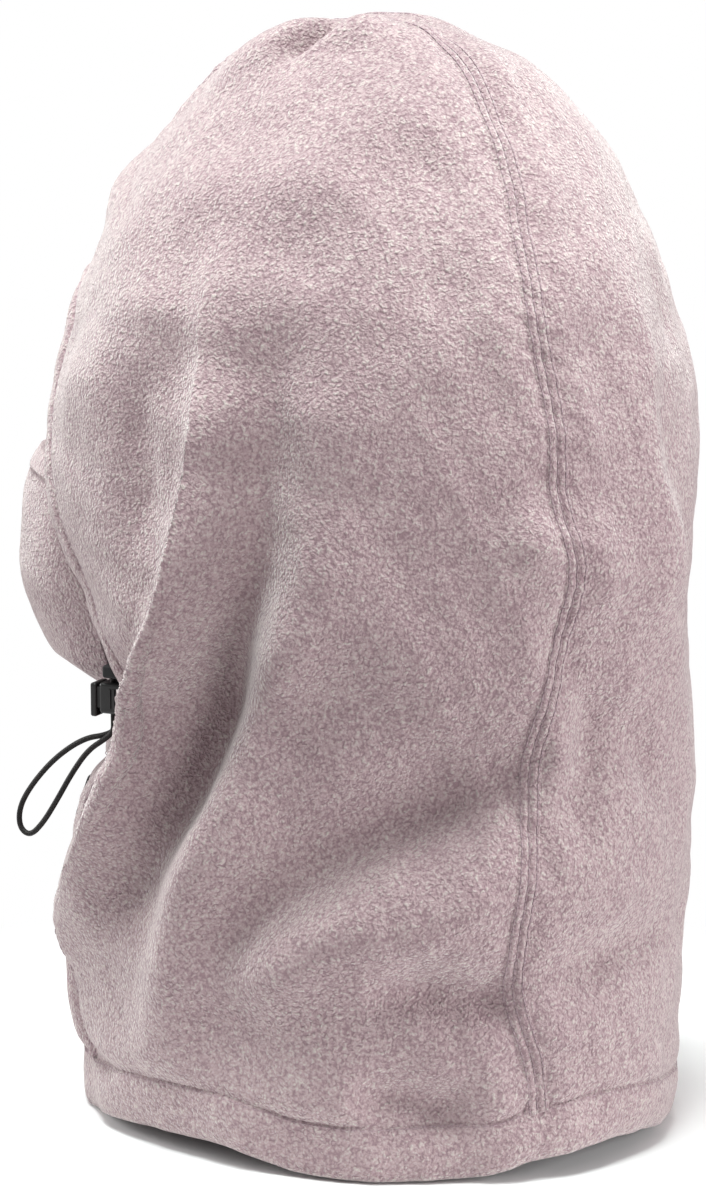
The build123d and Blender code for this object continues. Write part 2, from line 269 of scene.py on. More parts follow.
def fold_shift(points, normals):
    """How the folds and small waves move the cloth at points of the form."""
    lift = np.zeros(points.shape[:-1])
    slide = np.zeros_like(points)
    flat, flat_normals = points.reshape(-1, 3), normals.reshape(-1, 3)
    for spots, lifts, widths in FOLDS:
        reach = 3.2 * max(widths)
        low, high = spots.min(axis=0) - reach, spots.max(axis=0) + reach
        near = np.flatnonzero(np.all((flat > low) & (flat < high), axis=1))
        if not len(near):
            continue
        here, up = flat[near], flat_normals[near]
        starts, ends = spots[:-1], spots[1:]
        along = ends - starts
        length2 = np.maximum(np.sum(along**2, axis=1), 1e-6)
        best = np.full(len(here), 1e9)
        value = np.zeros(len(here))
        lean = np.zeros((len(here), 3))
        steep = min(widths) < 0.5 * max(widths)
        for start, run, size2, first, last in zip(starts, along, length2, lifts, lifts[1:]):
            offset = here - start
            share = np.clip(offset @ run / size2, 0, 1)
            gap = offset - share[:, None] * run
            distance = np.linalg.norm(gap, axis=1)
            left = np.sum(up * np.cross(run, gap), axis=1) > 0
            width = np.where(left, widths[0], widths[1])
            height = first + (last - first) * share
            closer = distance < best
            best = np.where(closer, distance, best)
            share = distance / width
            value = np.where(closer, height * np.exp(-(share**2) / 1.4), value)
            if steep:
                wall = height * share * np.exp(-(share**2)) * (width < 0.6 * max(widths))
                lean = np.where(closer[:, None], -unit(gap) * (UNDERCUT * wall)[:, None], lean)
        lift.reshape(-1)[near] += value
        slide.reshape(-1, 3)[near] += lean
    for wave, phase, size in WAVES:
        lift += size * np.sin(points @ wave + phase)
    lift += seam_dip(points)
    return normals * lift[..., None] + slide


def seam_gap(points):
    """Distance across from the nearest panel seam, in the front view or the back view."""
    x, y, z = np.abs(points[..., 0]), points[..., 1], points[..., 2]
    over = np.where(y > AXIS_Y, pchip(z, GUSSET_HALF), GUSSET_FRONT)
    gap = np.where((y > AXIS_Y) | (z > 290), x - over, 99.0)
    return np.where((y < AXIS_Y) & (z < 132), x - pchip(z, FRONT_HALF), gap)


def seam_dip(points):
    """A seam draws the cloth in, with a soft roll and small puckers beside it."""
    gap = np.abs(seam_gap(points))
    along = points[..., 2] + 0.7 * points[..., 1]
    pucker = 0.3 * np.sin(along * 0.7 + 2.2 * np.sin(along * 0.09)) * np.exp(-((gap / 9) ** 2))
    return 0.8 * np.exp(-(((gap - 9) / 4.5) ** 2)) - 1.0 * np.exp(-((gap / 4) ** 2)) + pucker


def hem_wave(points):
    """How far the hem's waves lift the cloth's lower part."""
    angle = np.degrees(np.arctan2(points[..., 0], AXIS_Y - points[..., 1])) % 360
    fade = np.clip((75 - points[..., 2]) / 50, 0, 1)
    return pchip(angle, HEM_WAVES) * fade * fade * (3 - 2 * fade)


def lay(points, lift=0.0):
    """Cloth points over points of the form, with the normals of the form."""
    points = np.array(points, dtype=float)
    points[..., 2] += hem_wave(points)
    points = onto_form(points)
    top = np.clip((points[..., 2:] - 382) / 6, 0, 1)
    normals = unit(unit(gradient(points)) * (1 - top) + np.array((0, 0, 1)) * top)
    neck = 1 - 0.8 * np.exp(-(((points[..., 2:] - NECK_Z) / 24) ** 2))
    outward = unit(normals * np.concatenate([np.ones_like(neck), np.ones_like(neck), neck], axis=-1))
    return points + fold_shift(points, outward) + normals * np.asarray(lift)[..., None], normals


def tuck(z):
    """The panels dip to the hem's seam and roll over above it."""
    return 0.7 * np.exp(-(((z - 27) / 5.5) ** 2)) - 1.1 * np.exp(-(((z - 19.5) / 2.6) ** 2))


# ---- meshes
def add_object(name, vertices, faces):
    mesh = bpy.data.meshes.new(name)
    mesh.from_pydata((np.asarray(vertices) * MM).tolist(), [], [list(map(int, f)) for f in faces])
    mesh.validate()
    mesh.polygons.foreach_set("use_smooth", [True] * len(mesh.polygons))
    piece = bpy.data.objects.new(name, mesh)
    bpy.context.scene.collection.objects.link(piece)
    return piece


def grid_faces(rows, columns, wrap=False, flip=False):
    """Quads of a grid of points, rows by columns; wrap joins the last column to the first."""
    span = columns if wrap else columns - 1
    r, c = np.meshgrid(np.arange(rows - 1), np.arange(span), indexing="ij")
    after = (c + 1) % columns
    low, high = r * columns, (r + 1) * columns
    quads = np.stack([low + c, low + after, high + after, high + c], -1).reshape(-1, 4)
    return quads[:, ::-1] if flip else quads


def grid_normals(grid, outward):
    """Normals of a grid of points, on the side of the given directions."""
    normals = np.cross(np.gradient(grid, axis=0), np.gradient(grid, axis=1))
    size = np.linalg.norm(normals, axis=-1, keepdims=True)
    side = np.sign(np.sum(normals * outward))
    return unit(np.where(size > 1e-3, side * unit(normals), outward))


def softened(vectors, window=9):
    """Averages over neighbours of a grid, over the same window everywhere."""
    for axis in (0, 1):
        ends = [(0, 0)] * 3
        ends[axis] = (window // 2, window // 2)
        wide = np.pad(vectors, ends, mode="edge")
        count = vectors.shape[axis]
        vectors = sum(np.take(wide, range(k, k + count), axis=axis) for k in range(window)) / window
    return vectors


def cloth_sheet(name, outer, outward, thickness=FLEECE, flip=False):
    """A closed sheet of cloth: the outer grid, the same grid a thickness inside, and the rim."""
    rows, columns = outer.shape[:2]
    inner = outer - softened(grid_normals(outer, outward)) * thickness
    count = rows * columns
    vertices = np.concatenate([outer.reshape(-1, 3), inner.reshape(-1, 3)])
    faces = [grid_faces(rows, columns, flip=flip), grid_faces(rows, columns, flip=not flip) + count]
    index = np.arange(count).reshape(rows, columns)
    rim = np.concatenate([index[0, :-1], index[:-1, -1], index[-1, :0:-1], index[:0:-1, 0]])
    after = np.roll(rim, -1)
    walls = np.stack([rim, rim + count, after + count, after], -1)
    faces.append(walls[:, ::-1] if flip else walls)
    return add_object(name, vertices, np.concatenate(faces))


def swept_ring(name, loops, closed=False, flip=False):
    """A tube with a given cross-section at each step: loops is steps by points by 3."""
    steps, points = loops.shape[:2]
    faces = [list(f) for f in grid_faces(steps, points, wrap=True, flip=flip)]
    if closed:
        last = (steps - 1) * points
        for i in range(points):
            j = (i + 1) % points
            quad = [last + i, last + j, j, i]
            faces.append(quad[::-1] if flip else quad)
    else:
        first_cap = list(range(points))
        last_cap = [(steps - 1) * points + i for i in range(points)]
        faces.append(first_cap if flip else first_cap[::-1])
        faces.append(last_cap[::-1] if flip else last_cap)
    return add_object(name, loops.reshape(-1, 3), faces)


def merge_copies(name, shape, shape_faces, frames):
    """One mesh of many copies of a small shape. frames: rows of (origin, 3 by 3 axes as rows)."""
    vertices, faces = [], []
    for count, (origin, axes) in enumerate(frames):
        vertices.append(shape @ axes + origin)
        faces.append(shape_faces + count * len(shape))
    return add_object(name, np.concatenate(vertices), np.concatenate(faces))


def stitch_shape(length, radius):
    """A short thread lying on cloth: vertices and quads."""
    rings, sides = 5, 6
    rows = []
    for t in np.linspace(0, math.pi, rings):
        x = -math.cos(t) * length / 2
        r = radius * (0.35 + 0.65 * math.sin(t))
        for a in np.arange(sides) * 2 * math.pi / sides:
            rows.append((x, r * math.cos(a), r * math.sin(a) + 0.12 * math.sin(t)))
    return np.array(rows), grid_faces(rings, sides, wrap=True)


def spaced(line, pitch, start=0.0):
    """Points along a polyline at equal distances, with their directions."""
    gaps = np.linalg.norm(np.diff(line, axis=0), axis=1)
    along = np.concatenate([[0], np.cumsum(gaps)])
    marks = np.arange(start, along[-1], pitch)
    spots = np.column_stack([np.interp(marks, along, column) for column in line.T])
    ahead = np.column_stack([np.interp(marks + 0.5, along, column) for column in line.T])
    behind = np.column_stack([np.interp(marks - 0.5, along, column) for column in line.T])
    return spots, unit(ahead - behind)


# ---- outlines of the panels
def gusset_half(z):
    return pchip(z, GUSSET_HALF)


def front_half(z):
    return pchip(z, FRONT_HALF)


OPENING_TOP, OPENING_BOTTOM = OPENING[0][1], OPENING[-1][1]
OPENING_CURVE = curve_through(OPENING, 400)


def opening_half(z):
    """Half width of the face opening's tunnel line at a height."""
    return np.interp(z, OPENING_CURVE[::-1, 1], OPENING_CURVE[::-1, 0])


def angle_ahead(x, z):
    """Angle of the point with that x on the front half of a level section."""
    side, _ = squared_reach(z, np.full(np.shape(z), AXIS_Y - 1))
    return np.degrees(np.arcsin(np.clip(x / np.sqrt(side), -1, 1)))


def angle_behind(x, z):
    return 180 - angle_ahead(x, z)


SEAM_TOP = float(np.interp(GUSSET_FRONT**2, *np.column_stack([SECTIONS[::-1, 1] ** 2, SECTIONS[::-1, 0]]).T))


def eased(count, ease=0.35):
    """Shares from 0 to 1 that stand closer together at both ends."""
    t = np.linspace(0, 1, count)
    return (1 - ease) * t + ease * 0.5 * (1 - np.cos(math.pi * t))


def side_front_angle(z):
    """Where a side panel ends ahead: front seam, tunnel or the gusset over the forehead."""
    half = np.where(z < OPENING_TOP, opening_half(np.clip(z, OPENING_BOTTOM, OPENING_TOP)), 0)
    half = np.where(z < 145, np.maximum(front_half(z), half), half)
    half = np.where(z > 200, np.maximum(half, GUSSET_FRONT), half)
    return angle_ahead(half, z)


def height_rows(low, high, spacing):
    """Heights whose rows stand evenly along the side of the form."""
    z = np.linspace(low, high, 2000)
    line = on_form(90, z)
    gaps = np.linalg.norm(np.diff(line, axis=0), axis=1)
    along = np.concatenate([[0], np.cumsum(gaps)])
    count = int(along[-1] / spacing)
    return np.interp(np.linspace(0, along[-1], count), along, z)


def side_panel(name, side, spacing=1.5, columns=210, even_rows=25):
    """A side panel. Its front edge jumps in places, and only the columns next to it follow the jumps."""
    z = height_rows(PANEL_LOW, SEAM_TOP - 0.05, spacing)[:, None]
    share = eased(columns)[None, :]
    ahead, behind = side_front_angle(z), angle_behind(gusset_half(z), z)
    padded = np.pad(ahead[:, 0], even_rows // 2, mode="edge")
    even = np.convolve(padded, np.full(even_rows, 1 / even_rows), mode="valid")[:, None]
    angle = even + (behind - even) * share + (ahead - even) * (1 - share) ** 8
    base = on_form(angle, np.broadcast_to(z, angle.shape))
    base[..., 0] *= side
    outer, normals = lay(base, tuck(base[..., 2]))
    return cloth_sheet(name, outer, normals, flip=side < 0)


def gusset_line(share, forward_rows=70, cap_rows=150, back_rows=190):
    """Points of the form along the gusset, share of the half width off the middle, from the
    forehead over the crown down to the hem."""
    share = np.asarray(share, dtype=float)
    hub = 300.0
    turns = np.radians(np.linspace(0, 176, forward_rows + cap_rows))
    near = np.zeros((len(turns), len(share)))
    far = np.full_like(near, 170.0)
    for _ in range(40):
        middle = (near + far) / 2
        y = AXIS_Y - middle * np.cos(turns)[:, None]
        z = hub + middle * np.sin(turns)[:, None]
        half = np.where(y < AXIS_Y, GUSSET_FRONT, gusset_half(np.minimum(z, CROWN_Z)))
        points = np.stack(np.broadcast_arrays(share[None, :] * half, y, z), axis=-1)
        out = (inside(points) > 1) | (z > CROWN_Z)
        far, near = np.where(out, middle, far), np.where(out, near, middle)
    last_z = points[-1, :, 2]
    drop = np.linspace(0, 1, back_rows + 1)[1:, None]
    z = last_z[None, :] + (PANEL_LOW - last_z[None, :]) * drop
    x = share[None, :] * gusset_half(z)
    back = on_form(angle_behind(x, z), z)
    return np.concatenate([points, back])


def gusset_panel(name):
    share = np.sin(np.linspace(-math.pi / 2, math.pi / 2, 91) * 0.9) / math.sin(0.45 * math.pi)
    base = gusset_line(share)
    outer, normals = lay(base, tuck(base[..., 2]))
    return cloth_sheet(name, outer, normals)


def front_panel(name):
    """The panel below the chin, drawn in a little where the folded mask comes to rest."""
    share = np.linspace(-1, 1, 110)[None, :]
    top_x = 52.0 * share
    top_z = np.interp(np.abs(top_x), OPENING_CURVE[::-1, 0][:150], OPENING_CURVE[::-1, 1][:150])
    up = np.linspace(0, 1, 90)[:, None]
    z = PANEL_LOW + (top_z - PANEL_LOW) * up
    x = share * front_half(z)
    base = on_form(angle_ahead(x, z), z)
    under_chin = 2.6 * np.exp(-(((z - 124) / 9) ** 2) - (x / 42) ** 4)
    outer, normals = lay(base, tuck(base[..., 2]) - under_chin)
    return cloth_sheet(name, outer, normals)


# ---- hem, tunnel and seams
def hem_band(name):
    """The folded hem: its outer face, rolled lower edge and inner face."""
    section = [(20.4, -1.6), (19.6, -0.5), (18.6, 0.2), (17, 0.6), (14.5, 0.9), (11.5, 1.1), (8, 1.2)]
    section += [(5, 1.1), (2.6, 0.6), (1.0, -0.2), (0.2, -1.6), (0.2, -3.2), (1.2, -4.4), (3.5, -4.9)]
    section += [(8, -5), (14, -5), (19, -4.6), (20.4, -3.4)]
    angles = np.linspace(0, 360, 521)[:-1]
    loops = []
    for z, lift in section:
        base = on_form(angles, np.full(len(angles), z))
        outer, _ = lay(base, lift)
        outer[:, 2] = z + 0.15 + hem_wave(base)
        loops.append(outer)
    return swept_ring(name, np.stack(loops, axis=1), closed=True)


def casing_line(side):
    """The middle of the casing's seat down one side of the face, with its normals."""
    line = curve_through(OPENING, 260)
    line[:, 0] *= side
    return lay(on_form(angle_ahead(line[:, 0], line[:, 1]), line[:, 1]))


def casing_cord(name):
    """The cord inside the casing, all round the face."""
    (left, left_up), (right, right_up) = casing_line(1), casing_line(-1)
    line, up = np.concatenate([left, right[-2:0:-1]]), np.concatenate([left_up, right_up[-2:0:-1]])
    ahead = unit(np.roll(line, -2, axis=0) - np.roll(line, 2, axis=0))
    across = unit(np.cross(up, ahead))
    turns = np.linspace(0, 2 * math.pi, 11)[:-1]
    loops = [line - up * 1.6 + across * math.cos(t) + up * math.sin(t) for t in turns]
    return swept_ring(name, np.stack(loops, axis=1), closed=True)


def tunnel(name, side):
    """Half of the rolled casing round the face, gathered a little by its cord."""
    base, normals = casing_line(side)
    along = unit(np.gradient(base, axis=0))
    across = unit(np.cross(normals, along)) * side
    steps = np.concatenate([[0], np.cumsum(np.linalg.norm(np.diff(base, axis=0), axis=1))])
    gather = 0.35 * np.sin(steps / 6.3 + 0.8 * np.sin(steps / 17)) + 0.2 * np.sin(steps / 2.9)
    loops = []
    for turn in np.linspace(0, 2 * math.pi, 21)[:-1]:
        c, s = math.cos(turn), math.sin(turn)
        width = TUNNEL_HALF * np.sign(c) * abs(c) ** 0.8
        height = 3.4 * np.sign(s) * abs(s) ** 0.8 - 1.9
        loops.append(base + across * width + normals * (height + gather * max(s, 0))[:, None])
    return swept_ring(name, np.stack(loops, axis=1), flip=side > 0)


def seam_frames(line):
    """Directions along and across a line on the form, and its normals."""
    normals = unit(gradient(line))
    along = unit(np.gradient(line, axis=0))
    return along, unit(np.cross(normals, along)), normals


def welt(name, line, profile):
    """A raised strip of cloth over a line on the form. profile: (offset across, lift)."""
    _, across, _ = seam_frames(line)
    rows = []
    for offset, lift in profile:
        laid, _ = lay(line + across * offset, lift)
        rows.append(laid)
    return swept_ring(name, np.stack(rows, axis=1))


def stitch_rows(name, line, offsets, lift, pitch=3.0, length=2.5, radius=0.27):
    """Rows of stitches beside a line on the form."""
    shape, faces = stitch_shape(length, radius)
    _, across, _ = seam_frames(line)
    frames = []
    for row, offset in enumerate(offsets):
        laid, normals = lay(line + across * offset, lift)
        spots, directions = spaced(laid, pitch, start=1.0 + 0.4 * row)
        nearest = [int(np.argmin(np.sum((laid - spot) ** 2, axis=1))) for spot in spots]
        ups = normals[nearest]
        for spot, direction, up in zip(spots, directions, ups):
            side = unit(np.cross(up, direction))
            up = np.cross(direction, side)
            frames.append((spot, np.stack([direction, side, up])))
    return merge_copies(name, shape, faces, frames)


def gusset_edge(side):
    """The seam line between a side panel and the gusset, on the form."""
    return gusset_line([side])[:, 0]


WELT = [(-4.6, -1.2), (-4.1, -0.2), (-3.5, 0.45), (-2.9, 0.15), (-2.2, 0.95), (-1.4, 1.1), (-0.6, 0.75)]
WELT += [(0, 0.15), (0.6, 0.75), (1.4, 1.1), (2.2, 0.95), (2.9, 0.15), (3.5, 0.45), (4.1, -0.2), (4.6, -1.2)]
WELT += [(0, -1.7)]
SEAM_ROWS = (-2.9, 0.0, 2.9)  # the three stitch rows of a seam, off its middle


# ---- materials
def new_material(name):
    material = bpy.data.materials.new(name)
    material.use_nodes = True
    nodes, links = material.node_tree.nodes, material.node_tree.links
    shader = nodes["Principled BSDF"]
    return material, nodes, links, shader


def textured(nodes, links, kind, scale, **settings):
    """A 3-D texture in object space, so that it rides with its piece."""
    place = nodes.new("ShaderNodeTexCoord")
    texture = nodes.new(kind)
    links.new(place.outputs["Object"], texture.inputs["Vector"])
    texture.inputs["Scale"].default_value = scale
    for key, value in settings.items():
        texture.inputs[key.replace("_", " ")].default_value = value
    return texture


def ramp(nodes, links, source, stops):
    node = nodes.new("ShaderNodeValToRGB")
    links.new(source, node.inputs["Fac"])
    elements = node.color_ramp.elements
    while len(elements) < len(stops):
        elements.new(0.5)
    for element, (position, colour) in zip(elements, stops):
        element.position = position
        element.color = (*colour, 1)
    return node


def math_node(nodes, links, operation, first, second):
    node = nodes.new("ShaderNodeMath")
    node.operation = operation
    for socket, value in zip(node.inputs, (first, second)):
        if isinstance(value, (int, float)):
            socket.default_value = value
        else:
            links.new(value, socket)
    return node.outputs[0]


def scaled(nodes, links, source, factor):
    return math_node(nodes, links, "MULTIPLY", source, factor)


def bumped(nodes, links, shader, height, strength, distance, invert=False):
    """Gives the shader a relief from a height."""
    bump = nodes.new("ShaderNodeBump")
    bump.inputs["Strength"].default_value = strength
    bump.inputs["Distance"].default_value = distance
    bump.invert = invert
    links.new(height, bump.inputs["Height"])
    links.new(bump.outputs["Normal"], shader.inputs["Normal"])


def fleece_material(name, crevice_shade, mid, lit_tip):
    """Anti-pill fleece: small curled nubs of pile. Its colour follows the pile's height, with painted shade
    in the crevices between the nubs and painted light on their tips.
    """
    material, nodes, links, shader = new_material(name)
    curls = textured(nodes, links, "ShaderNodeTexNoise", 680, Detail=2.0, Roughness=0.5, Distortion=0.8)
    nubs = textured(nodes, links, "ShaderNodeTexVoronoi", 940)
    nubs.feature = "SMOOTH_F1"
    nubs.inputs["Smoothness"].default_value = 0.4
    clumps = textured(nodes, links, "ShaderNodeTexNoise", 260, Detail=1.0)
    slow = textured(nodes, links, "ShaderNodeTexNoise", 22, Detail=2.0)
    nub = math_node(nodes, links, "SUBTRACT", 1.0, nubs.outputs["Distance"])
    height = scaled(nodes, links, nub, 0.35)
    height = math_node(nodes, links, "ADD", height, scaled(nodes, links, curls.outputs["Fac"], 0.9))
    height = math_node(nodes, links, "ADD", height, scaled(nodes, links, clumps.outputs["Fac"], 0.06))
    tone = math_node(nodes, links, "ADD", height, scaled(nodes, links, slow.outputs["Fac"], 0.1))
    # colour by pile height: painted shade darkens the crevices and painted light brightens the nub tips; the
    # slow noise adds random tone
    colours = ramp(nodes, links, tone, [(0.55, crevice_shade), (0.78, mid), (1.0, lit_tip)])
    links.new(colours.outputs["Color"], shader.inputs["Base Color"])
    bumped(nodes, links, shader, height, strength=1.0, distance=0.0012)
    rough = math_node(nodes, links, "ADD", 0.84, scaled(nodes, links, curls.outputs["Fac"], 0.14))
    links.new(rough, shader.inputs["Roughness"])
    shader.inputs["Specular IOR Level"].default_value = 0.12
    shader.inputs["Sheen Weight"].default_value = 0.6
    shader.inputs["Sheen Roughness"].default_value = 0.45
    shader.inputs["Sheen Tint"].default_value = (0.97, 0.96, 0.93, 1)
    return material


def thread_material(name, dark, light):
    """Twisted polyester thread."""
    material, nodes, links, shader = new_material(name)
    twist = textured(nodes, links, "ShaderNodeTexNoise", 1500, Detail=1.0)
    colours = ramp(nodes, links, twist.outputs["Fac"], [(0.3, dark), (0.7, light)])
    links.new(colours.outputs["Color"], shader.inputs["Base Color"])
    shader.inputs["Roughness"].default_value = 0.7
    shader.inputs["Sheen Weight"].default_value = 0.2
    return material


def cord_material(name):
    """Black braided elastic cord."""
    material, nodes, links, shader = new_material(name)
    braid = textured(nodes, links, "ShaderNodeTexVoronoi", 1300, Randomness=0.35)
    # the braid's grooves, sunk by the inverted bump, are painted darker: painted shade in the grooves
    stops = [(0.1, (0.02, 0.016, 0.015)), (0.7, (0.004, 0.0035, 0.0035))]
    colours = ramp(nodes, links, braid.outputs["Distance"], stops)
    links.new(colours.outputs["Color"], shader.inputs["Base Color"])
    bumped(nodes, links, shader, braid.outputs["Distance"], strength=0.6, distance=0.0003, invert=True)
    shader.inputs["Roughness"].default_value = 0.6
    shader.inputs["Specular IOR Level"].default_value = 0.3
    return material


def plastic_material(name, colour, roughness=0.42):
    """Moulded black plastic with a fine grain."""
    material, nodes, links, shader = new_material(name)
    grain = textured(nodes, links, "ShaderNodeTexNoise", 2600, Detail=2.0)
    tone = textured(nodes, links, "ShaderNodeTexNoise", 260, Detail=2.0)
    lighter = tuple(1.8 * c for c in colour)
    colours = ramp(nodes, links, tone.outputs["Fac"], [(0.35, colour), (0.7, lighter)])
    links.new(colours.outputs["Color"], shader.inputs["Base Color"])
    bumped(nodes, links, shader, grain.outputs["Fac"], strength=0.25, distance=0.0001)
    shader.inputs["Roughness"].default_value = roughness
    return material


def woven_material(name):
    """Plain black woven tape."""
    material, nodes, links, shader = new_material(name)
    weave = textured(nodes, links, "ShaderNodeTexWave", 900)
    # the weave's low threads are painted darker than the raised ones: painted shade in the weave's grooves
    stops = [(0.2, (0.008, 0.008, 0.009)), (0.8, (0.03, 0.028, 0.03))]
    colours = ramp(nodes, links, weave.outputs["Fac"], stops)
    links.new(colours.outputs["Color"], shader.inputs["Base Color"])
    bumped(nodes, links, shader, weave.outputs["Fac"], strength=0.4, distance=0.0002)
    shader.inputs["Roughness"].default_value = 0.75
    return material


def steel_material(name):
    material, nodes, links, shader = new_material(name)
    drawn = textured(nodes, links, "ShaderNodeTexNoise", 3000, Detail=2.0)
    rough = math_node(nodes, links, "ADD", 0.25, scaled(nodes, links, drawn.outputs["Fac"], 0.15))
    links.new(rough, shader.inputs["Roughness"])
    shader.inputs["Base Color"].default_value = (0.58, 0.58, 0.6, 1)
    shader.inputs["Metallic"].default_value = 1.0
    return material


# fleece colours: painted shade for the crevices, the fleece's own mauve, painted light for the nub tips
FLEECE_LOOK = fleece_material("fleece", (0.265, 0.178, 0.198), (0.4, 0.303, 0.312), (0.49, 0.442, 0.415))
THREAD_LOOK = thread_material("thread", (0.22, 0.14, 0.165), (0.38, 0.28, 0.31))
CORD_LOOK = cord_material("shock_cord")
PLASTIC_LOOK = plastic_material("lock_plastic", (0.007, 0.0065, 0.0065))
TAB_LOOK = woven_material("black_tape")
STEEL_LOOK = steel_material("spring_steel")


def dress(piece, material, slot, body, *nodes):
    """Gives a piece its material and body, and hides the CAD nodes that it stands for."""
    piece.data.materials.clear()
    piece.data.materials.append(material)
    if body:
        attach(piece, body)
    if nodes:
        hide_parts(*nodes)
    return piece


# ---- camera
CAMERA_AZIMUTH, CAMERA_PITCH = math.radians(115), math.radians(11.16)
CAMERA_DISTANCE, CAMERA_HEIGHT, CAMERA_LENS = 1.3, 0.44, 112.0
CAMERA_ASIDE = 0.0066


def add_camera():
    right = Vector((math.cos(CAMERA_AZIMUTH), math.sin(CAMERA_AZIMUTH), 0))
    level = Vector((math.sin(CAMERA_AZIMUTH), -math.cos(CAMERA_AZIMUTH), 0))
    back = level * math.cos(CAMERA_PITCH) + Vector((0, 0, math.sin(CAMERA_PITCH)))
    up = back.cross(right)
    place = level * CAMERA_DISTANCE - right * CAMERA_ASIDE + Vector((0, AXIS_Y * MM, CAMERA_HEIGHT))
    data = bpy.data.cameras.new("camera")
    data.lens, data.sensor_width, data.sensor_fit = CAMERA_LENS, 36.0, "AUTO"
    camera = bpy.data.objects.new("camera", data)
    bpy.context.scene.collection.objects.link(camera)
    turn = Matrix((right, up, back)).transposed().to_4x4()
    camera.matrix_world = Matrix.Translation(place) @ turn
    bpy.context.scene.camera = camera


add_camera()

# ---- free cord: one elastic loop through the lock. The route is the CAD tube's, in metres.
LOOP_ROUTE = [
    (0.0617, -0.0630, 0.1606),
    (0.0617, -0.0630, 0.1418),
    (0.0617, -0.0663, 0.1388),
    (0.0616, -0.0734, 0.1340),
    (0.0613, -0.0802, 0.1249),
    (0.0610, -0.0866, 0.1143),
    (0.0606, -0.0927, 0.1051),
    (0.0601, -0.0985, 0.0995),
    (0.0598, -0.1030, 0.1025),
    (0.0595, -0.1028, 0.1100),
    (0.0592, -0.0974, 0.1190),
    (0.0589, -0.0880, 0.1294),
    (0.0585, -0.0767, 0.1373),
    (0.0583, -0.0675, 0.1393),
    (0.0583, -0.0630, 0.1425),
    (0.0583, -0.0630, 0.1606),
]
STRAIGHT_TO = 0.1400


def cord_loop(name):
    """The cord as one spline; two added points keep the strands straight through the lock."""
    points = list(LOOP_ROUTE)
    first, last = points[0], points[-1]
    points.insert(1, (first[0], first[1], STRAIGHT_TO + 0.006))
    points.insert(len(points) - 1, (last[0], last[1], STRAIGHT_TO + 0.006))
    data = bpy.data.curves.new(name, "CURVE")
    data.dimensions = "3D"
    data.bevel_depth = 0.001
    data.bevel_resolution = 5
    data.resolution_u = 12
    data.use_fill_caps = True
    spline = data.splines.new("NURBS")
    spline.points.add(len(points) - 1)
    for point, place in zip(spline.points, points):
        point.co = (*place, 1)
    spline.order_u = 3
    spline.use_endpoint_u = True
    piece = bpy.data.objects.new(name, data)
    bpy.context.scene.collection.objects.link(piece)
    return piece


loop = dress(cord_loop("drawcord_loop"), CORD_LOOK, "shock_cord", "pull", "cord_loop")

# ---- the hood
left_panel = dress(side_panel("left_side", 1), FLEECE_LOOK, "fleece", "root", "left_side_panel")
right_panel = dress(side_panel("right_side", -1), FLEECE_LOOK, "fleece", "root", "right_side_panel")
gusset = dress(gusset_panel("gusset"), FLEECE_LOOK, "fleece", "root", "crown_gusset")
front = dress(front_panel("front"), FLEECE_LOOK, "fleece", "root", "front_panel")
hem = dress(hem_band("hem"), FLEECE_LOOK, "fleece", "root", "hem_band")
for side, word in ((1, "left"), (-1, "right")):
    casing = tunnel(f"tunnel_{word}", side)
    dress(casing, FLEECE_LOOK, "fleece", "root", f"face_tunnel_{word}")
    seam = gusset_edge(side)
    band = welt(f"seam_welt_{word}", seam, WELT)
    dress(band, FLEECE_LOOK, "fleece", "root")
    stitches = stitch_rows(f"seam_stitches_{word}", seam, SEAM_ROWS, 0.5)
    dress(stitches, THREAD_LOOK, "thread", "root", f"gusset_seam_{word}")
    z = np.linspace(HEM_TOP, OPENING_BOTTOM - 4, 160)
    front_seam = on_form(side * angle_ahead(front_half(z), z), z)
    front_band = welt(f"front_welt_{word}", front_seam, WELT)
    dress(front_band, FLEECE_LOOK, "fleece", "root")
    front_rows = stitch_rows(f"front_stitches_{word}", front_seam, SEAM_ROWS, 0.5)
    dress(front_rows, THREAD_LOOK, "thread", "root", f"front_seam_{word}")

angles = np.linspace(0, 360, 900)
hem_line = on_form(angles, np.full(len(angles), 19.2))
hem_rows = stitch_rows("hem_stitches", hem_line, (0.0,), -0.2, radius=0.22)
dress(hem_rows, THREAD_LOOK, "thread", "root", "hem_stitching")


def brim_line():
    """The line that the tunnel's stitches follow, on the form."""
    line = curve_through(OPENING, 500)
    centre = on_form(angle_ahead(line[:, 0], line[:, 1]), line[:, 1])
    _, across, _ = seam_frames(centre)
    left = centre + across * (TUNNEL_HALF + 0.6)
    return np.concatenate([left[::-1], left * (-1, 1, 1)])


brim_rows = stitch_rows("brim_stitches", brim_line(), (0.0,), -0.1, radius=0.2)
dress(brim_rows, THREAD_LOOK, "thread", "root", "brim_stitching")

LABEL_X, LABEL_Z = (8, 38), (101, 110)


def label(name):
    """A small woven label sewn to the front panel."""
    x, z = np.meshgrid(np.linspace(*LABEL_X, 40), np.linspace(*LABEL_Z, 14))
    outer, normals = lay(on_form(angle_ahead(x, z), z), 0.55)
    return cloth_sheet(name, outer, normals, thickness=0.8)


front_patch = dress(label("label"), TAB_LOOK, "woven_label", "root", "front_label")
dress(casing_cord("casing_cord"), CORD_LOOK, "shock_cord", "root", "tunnel_cord")

# ---- mask
MASK_CENTRE = np.array((0.0, -52.0, 203.0))
MASK_RADII = np.array((58.0, 73.0, 64.0))
# Angles of the mask's sides, lower edge, binding and upper edge.
MASK_SIDE, MASK_LOW, BINDING_LOW, MASK_HIGH, BINDING_HIGH = 70, -58, 22.1, 22.5, 28.5


